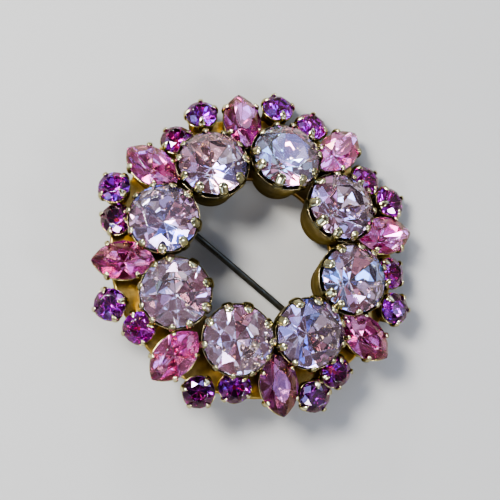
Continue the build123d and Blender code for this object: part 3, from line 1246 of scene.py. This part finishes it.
@dataclass(frozen=True)
class Findings:
    """Hinge, catch and pin: in their own frame X runs from the catch to the hinge."""

    offset: float = -1.95
    drop: float = 2.0
    pin_diameter: float = 0.8
    root_diameter: float = 1.0
    root_length: float = 1.3
    root_in_knuckle: float = 0.35
    point_diameter: float = 0.2
    point_length: float = 5.0
    point_end: float = 0.05
    point_blunt: float = 0.4
    overshoot: float = 1.9
    hinge_reach: float = 12.6
    catch_reach: float = 12.4
    catch_length: float = 2.2
    catch_clearance: float = 0.12
    stem_rows: int = 120
    soft_stem: float = 0.5
    knuckle_diameter: float = 2.0
    knuckle_width: float = 1.1
    knuckle_columns: int = 64
    soft_knuckle: float = 0.12
    rivet_diameter: float = 1.0
    rivet_clearance: float = 0.05
    rivet_edge: float = 0.12
    rivet_out: float = 0.01
    rivet_in: float = 0.06
    ear_gap: float = 0.1
    ear_thickness: float = 0.55
    depth: float = 3.25
    root_in_plate: float = 0.45
    soft_hinge: float = 0.09
    soft_catch: float = 0.1

    @property
    def place(self) -> Array:
        """Matrix of the pin's line on the back plane."""
        return turn(2, PIN_ANGLE) @ shift(0, self.offset, 0)

    @property
    def width(self) -> float:
        """Width of the hinge and of the catch, across the pin."""
        return self.knuckle_width + 2 * (self.ear_gap + self.ear_thickness)

    def rod(self, stations: Array, columns: int = 32) -> Shell:
        """Turns a line of reach along X and radius round the X axis.

        Args:
            stations: X and radius of each row.
            columns: Count of steps round the axis.

        Returns:
            The closed rod.
        """
        angles = round_steps(columns)
        x = np.broadcast_to(stations[:, :1], (len(stations), columns))
        radius = stations[:, 1:]
        grid = np.stack([x, radius * np.cos(angles), radius * np.sin(angles)], -1)
        return capped_shell(grid, np.full(len(stations), ROD_HOLLOW))

    def hinge(self, dresser: Dresser) -> bpy.types.Object:
        """Builds the two ears, round at the bottom, and the rivet through them.

        Args:
            dresser: Makes the piece.

        Returns:
            The piece.
        """
        radius = self.depth - self.drop
        arc = np.radians(np.linspace(0, -180, 25))
        bottom = radius * circle(arc) - (0, self.drop)
        top = np.array([(-radius, self.root_in_plate), (radius, self.root_in_plate)])
        outline = np.concatenate([bottom, top]) + (self.hinge_reach, 0)
        inner, outer = self.knuckle_width / 2 + self.ear_gap, self.width / 2
        ears = [prism(outline, inner, outer), prism(outline, -outer, -inner)]
        half, end, flat = self.rivet_diameter / 2, outer + self.rivet_out, outer - self.rivet_in
        head = half - self.rivet_edge
        line = np.array([(-end, head), (-flat, half), (flat, half), (end, head)])
        rivet = self.rod(line).placed(shift(self.hinge_reach, 0, -self.drop) @ turn(2, 90))
        shells = [(part.placed(self.place), Metal.FINDING) for part in (*ears, rivet)]
        piece = dresser.metal("hinge", shells)
        dresser.soften(piece, self.soft_hinge, 3)
        return piece

    def catch(self, dresser: Dresser) -> bpy.types.Object:
        """Builds the catch: a channel, open downwards, carried along the pin.

        Args:
            dresser: Makes the piece.

        Returns:
            The piece.
        """
        half, room = self.width / 2, self.pin_diameter / 2 + self.catch_clearance
        bottom = -self.depth
        roof = -self.drop + self.pin_diameter / 2 + self.catch_clearance
        arc = np.radians(np.linspace(0, 180, 17))
        channel = room * circle(arc) + (0, roof - room)
        walls = np.array([(-room, bottom), (-half, bottom), (-half, self.root_in_plate)])
        other = np.array([(half, self.root_in_plate), (half, bottom), (room, bottom)])
        outline = np.concatenate([channel, walls, other])
        reach, long = -self.catch_reach, self.catch_length / 2
        body = prism(outline, reach - long, reach + long).placed(self.place @ turn(2, -90))
        piece = dresser.metal("catch", [(body, Metal.FINDING)])
        dresser.soften(piece, self.soft_catch, 3)
        return piece

    def knuckle(self) -> Shell:
        """Turns a rounded strip round the rivet, which lies along Y.

        Returns:
            The knuckle about the hinge's middle.
        """
        outer, inner = self.knuckle_diameter / 2, self.rivet_diameter / 2 + self.rivet_clearance
        half, middle = self.knuckle_width / 2, (outer + inner) / 2
        start = (middle, -half)
        corners = [start, (outer, -half), (outer, half), (inner, half), (inner, -half), start]
        strip = eased(np.array(corners), self.soft_knuckle, 5)[:-1]
        tarnish_and_shade = np.full(len(strip), ROD_HOLLOW)
        ring = revolved(strip, self.knuckle_columns, tarnish_and_shade, about_y=True)
        return ring.placed(shift(self.hinge_reach, 0, 0))

    def pin(self, dresser: Dresser) -> bpy.types.Object:
        """Builds the pin: a rod with a long point, and the knuckle that turns on the rivet.

        Args:
            dresser: Makes the piece.

        Returns:
            The piece.
        """
        root = self.hinge_reach - self.knuckle_diameter / 2
        tip = -self.catch_reach - self.catch_length / 2 - self.overshoot
        stem, thick, fine = self.pin_diameter / 2, self.root_diameter / 2, self.point_diameter / 2
        line = [
            (root + self.root_in_knuckle, thick),
            (root, thick),
            (root - self.root_length, stem),
            (tip + self.point_length, stem),
            (tip + self.point_end, fine),
            (tip, self.point_blunt * fine),
        ]
        line = eased(np.array(line), self.soft_stem, 6)
        rod = self.rod(spaced(line, np.linspace(0, 1, self.stem_rows)))
        place = self.place @ shift(0, 0, -self.drop)
        return dresser.metal("pin", [(s.placed(place), Metal.PIN) for s in (rod, self.knuckle())])


# Studio


@dataclass(frozen=True)
class Softbox:
    """A square studio light that faces the brooch."""

    name: str
    azimuth: float
    elevation: float
    distance: float
    size: float
    power: float
    colour: Colour

    def build(self, target: Triple) -> None:
        """Hangs the light.

        Args:
            target: Point that it faces, in metres.
        """
        light = bpy.data.lights.new(self.name, "AREA")
        light.shape, light.size = "SQUARE", self.size
        light.energy, light.color = self.power, self.colour
        place = facing(target, self.distance, self.azimuth, self.elevation, (0, 0, 1))
        added(self.name, light).matrix_world = place


@dataclass(frozen=True)
class Studio:
    """Camera at the photograph's angle, soft lights and a plain pale floor."""

    target: Triple = (-0.00054, 0.00008, 0.005)
    distance: float = 0.17
    azimuth: float = 228.7
    elevation: float = 80.1
    roll: float = -0.47
    lens: float = 99.48
    sensor: float = 36.0
    clip: Pair = (0.01, 20.0)
    floor_radius: float = 3.0
    floor_sides: int = 64
    floor_colour: Colour = (0.28, 0.276, 0.26)
    floor_shade: float = 0.98
    floor_grain: float = 6.0
    floor_roughness: float = 0.6
    horizon: Colour = (0.70, 0.70, 0.68)
    horizon_edges: Pair = (0.25, 0.5)
    card: Colour = (1.17, 1.15, 1.25)
    card_edges: Pair = (0.47, 0.56)
    shade: Colour = (0.14, 0.08, 0.075)
    window: Colour = (4.2, 5.8, 9.2)
    window_edges: Pair = (0.60, 0.63)
    zenith_edges: Pair = (0.88, 0.96)
    zenith_shade: float = 0.9
    card_scale: float = 4.5
    card_swing: float = 108.0
    air: float = 0.7
    look: str = "AgX - Medium High Contrast"
    boxes: tuple[Softbox, ...] = (
        Softbox("key", 150, 52, 0.55, 0.16, 8.0, (1.0, 0.98, 0.95)),
        Softbox("side", 318, 34, 0.60, 0.10, 1.8, (0.92, 0.95, 1.0)),
        Softbox("front", 250, 40, 0.60, 0.10, 1.5, (1.0, 0.95, 0.90)),
        Softbox("top", 100, 20, 0.60, 0.10, 1.5, (0.95, 0.97, 1.0)),
    )

    def camera(self) -> None:
        """Sets the camera; its upward direction follows +Y of the photograph."""
        data = bpy.data.cameras.new("camera")
        data.lens, data.sensor_width = self.lens, self.sensor
        data.clip_start, data.clip_end = self.clip
        camera = added("camera", data)
        view = self.azimuth, self.elevation
        camera.matrix_world = facing(self.target, self.distance, *view, (0, 1, 0), self.roll)
        bpy.context.scene.camera = camera

    def floor(self) -> None:
        """Lays the floor: one many-sided face round its middle."""
        angles = round_steps(self.floor_sides)
        rim = self.floor_radius * np.c_[circle(angles), 0 * angles]
        mesh = bpy.data.meshes.new("floor")
        mesh.from_pydata(rim.tolist(), [], [list(range(self.floor_sides))])
        sheet = NodeSheet.of_material("floor")
        darker = tuple(self.floor_shade * c for c in self.floor_colour)
        colour = sheet.blend(sheet.noise(self.floor_grain, 3), darker, self.floor_colour)
        sheet.feed(sheet.shader, Base_Color=colour, Roughness=self.floor_roughness)
        mesh.materials.append(sheet.owner)
        added("floor", mesh)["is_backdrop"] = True

    def world(self) -> None:
        """Lights the air: plain and pale low down, pale cards with shade between them overhead."""
        sheet = NodeSheet(bpy.data.worlds.new("studio"))
        place = sheet.add("ShaderNodeTexCoord").outputs["Generated"]
        height = sheet.add("ShaderNodeSeparateXYZ", Vector=place).outputs["Z"]
        swing = (0, 0, np.radians(self.card_swing))
        place = sheet.add("ShaderNodeMapping", Vector=place, Rotation=swing).outputs["Vector"]
        noise = {"Vector": place, "Scale": self.card_scale, "Detail": 1.0}
        cards = sheet.add("ShaderNodeTexNoise", **noise).outputs["Fac"]
        air = sheet.blend(sheet.spread(cards, *self.card_edges), self.shade, self.card)
        air = sheet.blend(sheet.spread(cards, *self.window_edges), air, self.window)
        zenith = sheet.spread(height, *self.zenith_edges, 0, self.zenith_shade)
        air = sheet.blend(zenith, air, self.shade)
        air = sheet.blend(sheet.spread(height, *self.horizon_edges), self.horizon, air)
        sheet.feed(sheet.shader, Color=air, Strength=self.air)
        bpy.context.scene.world = sheet.owner

    def build(self) -> None:
        """Builds the whole studio."""
        bpy.context.scene.view_settings.look = self.look
        self.camera()
        self.floor()
        self.world()
        for box in self.boxes:
            box.build(self.target)


# The brooch's own sizes


def bitten(rows: ClawRows, seats: Seats, least: float) -> tuple[ClawPlaces, ...]:
    """Gives the places of round cups' claws, which bite least on the outer side.

    The bite falls with the cosine of the claw's direction, from 1 at the hole to the least.

    Args:
        rows: Each cup's claws, in degrees from the direction outwards.
        seats: Each cup's seat, whose spin is taken off.
        least: Bite of a claw that points outwards.

    Returns:
        For each cup its claws' side, two zeros, because they all turn about its middle, and bite.
    """
    return tuple(
        tuple((a - spin, 0.0, 0.0, 1 - (1 - least) * (1 + np.cos(np.radians(a))) / 2) for a in row)
        for row, (_, _, spin) in zip(rows, seats)
    )


@dataclass(frozen=True)
class Kind:
    """One kind of stone with its cup, their places and the stones' material slot."""

    cup: Cup
    stone: Stone
    places: list[Array]
    slot: str


@dataclass(frozen=True)
class Brooch:
    """The wreath: its rings of stones and cups, its base ring, and its findings.

    Heights are those of the girdles above the back. The claws' rows are degrees round each cup
    from the direction outwards, and the seats are as `SeatRing` says.
    """

    large_width: float = 8.4
    large_height: float = 5.15
    large_seats: Seats = (
        (-1.1, -0.03, 4), (-1.0, 0.03, -6), (0.0, -0.02, 0), (0.8, 0.03, 7),
        (0.4, 0.00, -3), (1.2, -0.02, 2), (0.2, 0.00, 9), (-1.6, 0.01, -8),
    )
    large_claws: ClawRows = (
        (4, 38, 70, 108, 153, 190, 225, 258, 290, 328),
        (3, 32, 65, 106, 133, 178, 220, 250, 289, 325),
        (27, 55, 90, 124, 167, 205, 246, 275, 310, 341),
        (3, 38, 67, 102, 141, 182, 238, 268, 302, 335),
        (20, 55, 84, 124, 166, 209, 250, 278, 320, 352),
        (6, 38, 75, 102, 134, 179, 214, 255, 293, 335),
        (12, 45, 79, 107, 142, 179, 222, 266, 300, 335),
        (10, 40, 70, 97, 137, 175, 228, 254, 292, 332),
    )
    navette_length: float = 7.7
    navette_width: float = 4.8
    navette_height: float = 3.4
    navette_claw_place: float = 1.9
    navette_seats: Seats = (
        (2.0, -0.05, 1), (-0.8, 0.08, -4), (-1.4, 0.00, -1), (0.0, -0.03, -1),
        (-0.8, -0.02, -7), (0.0, 0.02, -5), (0.9, 0.00, 3), (0.0, 0.04, -2),
    )
    small_width: float = 3.9
    small_height: float = 2.3
    small_tilt: float = 21.0
    pair_middle: float = 27.75
    pair_swing: float = 6.2326
    lower_radius: float = 19.0465
    upper_radius: float = 17.4465
    lower_seats: Seats = (
        (0.3, -0.01, 10), (-1.3, -0.14, -20), (-1.5, -0.05, 25), (-0.6, 0.03, 45),
        (-0.8, 0.06, 5), (0.1, -0.05, -15), (-0.7, 0.00, 30), (2.5, -0.06, 55),
    )
    upper_seats: Seats = (
        (0.1, 0.04, 0), (0.7, 0.48, 15), (0.2, -0.06, -35), (-1.4, 0.04, 20),
        (-0.5, 0.00, 60), (0.7, -0.12, 10), (-1.0, 0.04, -10), (3.8, -0.02, 35),
    )
    small_claws: ClawRows = (
        (2, 95, 183, 275), (5, 95, 181, 265), (10, 98, 190, 268), (20, 75, 200, 290),
        (340, 70, 158, 273), (8, 95, 185, 255), (325, 60, 160, 245), (350, 80, 172, 213),
        (355, 90, 170, 270), (345, 75, 158, 258), (350, 60, 167, 278), (330, 70, 150, 213),
        (20, 90, 158, 292), (340, 60, 135, 258), (20, 75, 160, 293), (330, 50, 140, 240),
    )

    def large(self) -> Kind:
        """Gives the large stones, with ten claws each.

        Returns:
            The kind.
        """
        width, height = self.large_width, self.large_height
        cut = Cut(RoundOutline(width), table=RoundOutline(4.9), crown=1.5, pavilion=3.4)
        claw = Claw(
            width=1.12,
            thickness=0.42,
            reach=1.0,
            depth=1.2,
            tip_length=0.66,
            tip_power=2.0,
            swell=0.2,
        )
        cup = Cup(
            name="large_cup",
            cut=cut,
            outline=cut.girdle,
            columns=96,
            height=height,
            belly=(-0.2, 2.85),
            foot_grow=-0.95,
            hollow_grow=-1.1,
            claw=claw,
            claw_places=bitten(self.large_claws, self.large_seats, least=0.35),
            # Each rim also sets how dark its seat is: painted shade
            rims=(*[Rim.OPEN] * 3, *[Rim.CLOSE] * 4, Rim.OPEN),
            # The large cups and claws take the darkened golds: painted shade
            finish_and_light=Metal.SHADED_CUP,
            claw_finish_and_light=Metal.SHADED_CLAW,
            rim_wall=0.12,
        )
        # Painted light and shade: how bright each large stone's foil is
        painted_light_levels = (1.15, 1.8, 1.0, 0.85, 1.9, 1.3, 0.78, 1.3)
        colour = StoneColour.PALE_LILAC
        stone = Stone("large_gem", "large_stone", colour, cut, seed=100, painted_light_levels=painted_light_levels)
        ring = SeatRing(
            start=28.7,
            radius=12.0465,
            height=height,
            tilt=10.0,
            width=width,
            seats=self.large_seats,
        )
        return Kind(cup, stone, ring.places(), "pale_glass")

    def navette(self) -> Kind:
        """Gives the pointed stones, with a claw on each side of both points.

        Returns:
            The kind.
        """
        width, height = self.navette_width, self.navette_height
        pointed = PointedOutline(self.navette_length, width)
        swing = float(np.degrees(np.arcsin(self.navette_claw_place / pointed.arc_radius)))
        back = width / 2 - pointed.arc_radius
        claws = tuple((side, back, way, 1.0) for side in (90, 270) for way in (swing, -swing))
        cut = Cut(pointed, table=PointedOutline(4.1, 2.3), crown=1.15, pavilion=2.1)
        claw = Claw(
            width=0.6,
            thickness=0.36,
            reach=0.5,
            depth=1.1,
            tip_length=0.35,
            tip_power=2.0,
            swell=0.1,
        )
        cup = Cup(
            name="pointed_cup",
            cut=cut,
            outline=pointed,
            columns=96,
            height=height,
            belly=(-0.275, 2.0),
            foot_grow=-0.45,
            hollow_grow=-0.9,
            claw=claw,
            claw_places=(claws,),
            rims=(Rim.POINTED,),
            waist=-0.16,
        )
        # Painted light and shade: how bright each pointed stone's foil is
        painted_light_levels = (1.35, 1.1, 0.85, 1.1, 1.1, 2.1, 0.45, 0.85)
        stone = Stone("pointed_gem", "navette", StoneColour.ROSE, cut, seed=200, painted_light_levels=painted_light_levels)
        ring = SeatRing(
            start=6.4,
            radius=16.7143,
            height=height,
            tilt=13.0,
            width=width,
            seats=self.navette_seats,
        )
        return Kind(cup, stone, ring.places(), "rose_glass")

    def small(self) -> Kind:
        """Gives the small stones, in pairs of a lower and an upper one, with four claws each.

        Returns:
            The kind.
        """
        width, height, tilt = self.small_width, self.small_height, self.small_tilt
        first, second = self.pair_middle - self.pair_swing, self.pair_middle + self.pair_swing
        lower = SeatRing(first, self.lower_radius, height, tilt, width, self.lower_seats)
        upper = SeatRing(second, self.upper_radius, height, tilt, width, self.upper_seats)
        places = [place for pair in zip(lower.places(), upper.places()) for place in pair]
        seats = tuple(seat for pair in zip(self.lower_seats, self.upper_seats) for seat in pair)
        cut = Cut(RoundOutline(width), table=RoundOutline(2.2), crown=0.75, pavilion=1.65)
        claw = Claw(
            width=0.84, thickness=0.28, reach=0.9, depth=1.0, tip_length=0.9, tip_power=1.5
        )
        cup = Cup(
            name="small_cup",
            cut=cut,
            outline=RoundOutline(width, flat=0.05),
            columns=64,
            height=height,
            belly=(-0.2, 1.15),
            foot_grow=-0.3,
            hollow_grow=-0.65,
            claw=claw,
            claw_places=bitten(self.small_claws, seats, least=0.5),
            rims=(Rim.SMALL,),
            waist=-0.12,
        )
        # Painted light and shade: how bright each small stone's foil is
        painted_light_levels = (1.0, 3.0, 3.0, 1.2, 1.0, 0.75, 1.0, 0.35, 1.0, 2.0, 0.4, 0.8, 0.2, 0.7, 0.85, 5.0)
        colour = StoneColour.FUCHSIA
        stone = Stone("small_gem", "small_stone", colour, cut, seed=300, painted_light_levels=painted_light_levels)
        return Kind(cup, stone, places, "fuchsia_glass")

    def build(self, dresser: Dresser) -> None:
        """Builds the brooch, ties each piece to its body, and hides the CAD nodes that the pieces
        stand in for.

        Args:
            dresser: Makes the pieces.
        """
        findings = Findings()
        kinds = [self.large(), self.navette(), self.small()]
        metal = [BaseRing().build(dresser), findings.hinge(dresser), findings.catch(dresser)]
        for kind in kinds:
            metal += kind.cup.build(dresser, kind.places)
        for piece in metal:
            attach(piece, "brooch")
            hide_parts("brooch_frame")
            log.info("metal piece %s: %d faces", piece.name, len(piece.data.polygons))
        for kind in kinds:
            for piece in kind.stone.build(dresser, kind.places):
                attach(piece, "brooch")
                log.info("stone %s: %d facets", piece.name, len(piece.data.polygons))
        pin = findings.pin(dresser)
        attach(pin, "pin")
        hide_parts("pin_stem")
        log.info("pin: %d faces", len(pin.data.polygons))


def main() -> None:
    """Loads the frame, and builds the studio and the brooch."""
    logging.basicConfig(level=logging.INFO, format="%(name)s: %(message)s")
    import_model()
    cad_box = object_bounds()
    Studio().build()
    Brooch().build(Dresser(Rest()))
    boxes = {"cad": cad_box, "visual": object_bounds()}
    sizes = {name: [list(corner) for corner in box] for name, box in boxes.items()}
    log.info("boxes: %s", sizes)


if __name__ == "__main__":
    main()
